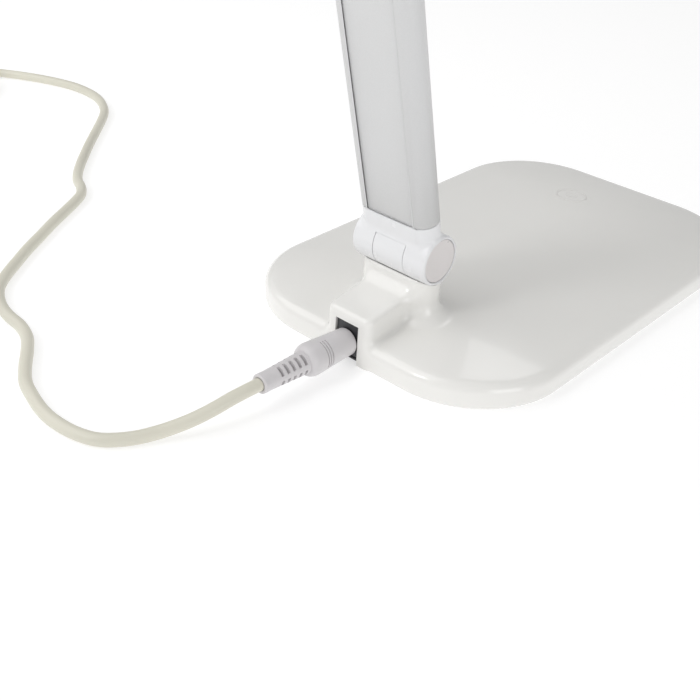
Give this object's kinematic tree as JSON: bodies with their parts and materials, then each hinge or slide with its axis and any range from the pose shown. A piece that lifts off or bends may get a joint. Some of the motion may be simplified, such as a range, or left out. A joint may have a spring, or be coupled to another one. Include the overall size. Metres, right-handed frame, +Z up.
{
  "type": "folding led desk lamp",
  "caption": "Folding desk lamp with a weighted touch-control base, an aluminium arm on friction hinges, a flat LED head and a lead with a barrel plug.",
  "frame": {"origin": "middle of the foam pad's underside, which is the face that the lamp stands on", "axes": "+X to the user's right along the hinge axes, -Y towards the user, +Z up"},
  "size_m": [0.3772, 0.2874, 0.2852],
  "materials": {
    "white_gloss": "smooth moulded white, satin gloss",
    "white_plastic": "moulded white, matt",
    "foam": "closed-cell foam pad",
    "steel": "plated steel",
    "iron": "plain steel plate",
    "board": "circuit board",
    "board_white": "white circuit board",
    "brass": "sprung contact",
    "wire": "insulated wire",
    "black_plastic": "black jack body",
    "cap_plastic": "smooth cap",
    "aluminium": "satin extrusion",
    "panel_plastic": "satin strip",
    "led": "phosphor under clear resin",
    "diffuser": "frosted",
    "plug_plastic": "moulded soft white",
    "cord": "soft white sheath",
    "tie": "soft strap"
  },
  "bodies": {
    "base": {"base_top_shell": "white_gloss", "base_bottom_plate": "white_plastic", "base_pad": "foam", "base_screws": "steel", "counterweight": "iron", "control_board": "board", "touch_sensor": "brass", "base_wires": "wire", "dc_jack": "black_plastic", "jack_pin": "steel", "hinge_barrel": "white_gloss", "hinge_screw": "steel", "lower_washers": "steel", "plug_barrel": "steel", "plug_body": "plug_plastic", "strain_relief": "plug_plastic", "cord_run": "cord", "cord_coil": "cord", "cord_tie": "tie", "usb_relief": "plug_plastic", "usb_body": "plug_plastic", "usb_shell": "steel", "usb_tongue": "white_plastic"},
    "arm": {"lower_shaft": "steel", "lower_nuts": "steel", "lower_caps": "cap_plastic", "arm_collar": "white_gloss", "arm_profile": "aluminium", "arm_rear_panel": "panel_plastic", "arm_front_panel": "panel_plastic", "arm_screws": "steel", "arm_wires": "wire", "head_bracket": "white_gloss", "upper_shaft": "steel", "upper_nuts": "steel", "upper_caps": "cap_plastic"},
    "head": {"head_barrel": "white_gloss", "upper_washers": "steel", "head_screws": "steel", "head_shell": "white_gloss", "led_board": "board_white", "leds": "led", "reflector": "white_plastic", "diffuser": "diffuser"}
  },
  "joints": [
    {"name": "arm_tilt", "type": "hinge", "parent": "base", "child": "arm", "pos_m": [0, 0.0597, 0.0315], "axis": [1, 0, 0], "range_deg": [-16, 103]},
    {"name": "head_tilt", "type": "hinge", "parent": "arm", "child": "head", "pos_m": [0, 0.11374, 0.27567], "axis": [1, 0, 0], "range_deg": [-75, 76]}
  ]
}
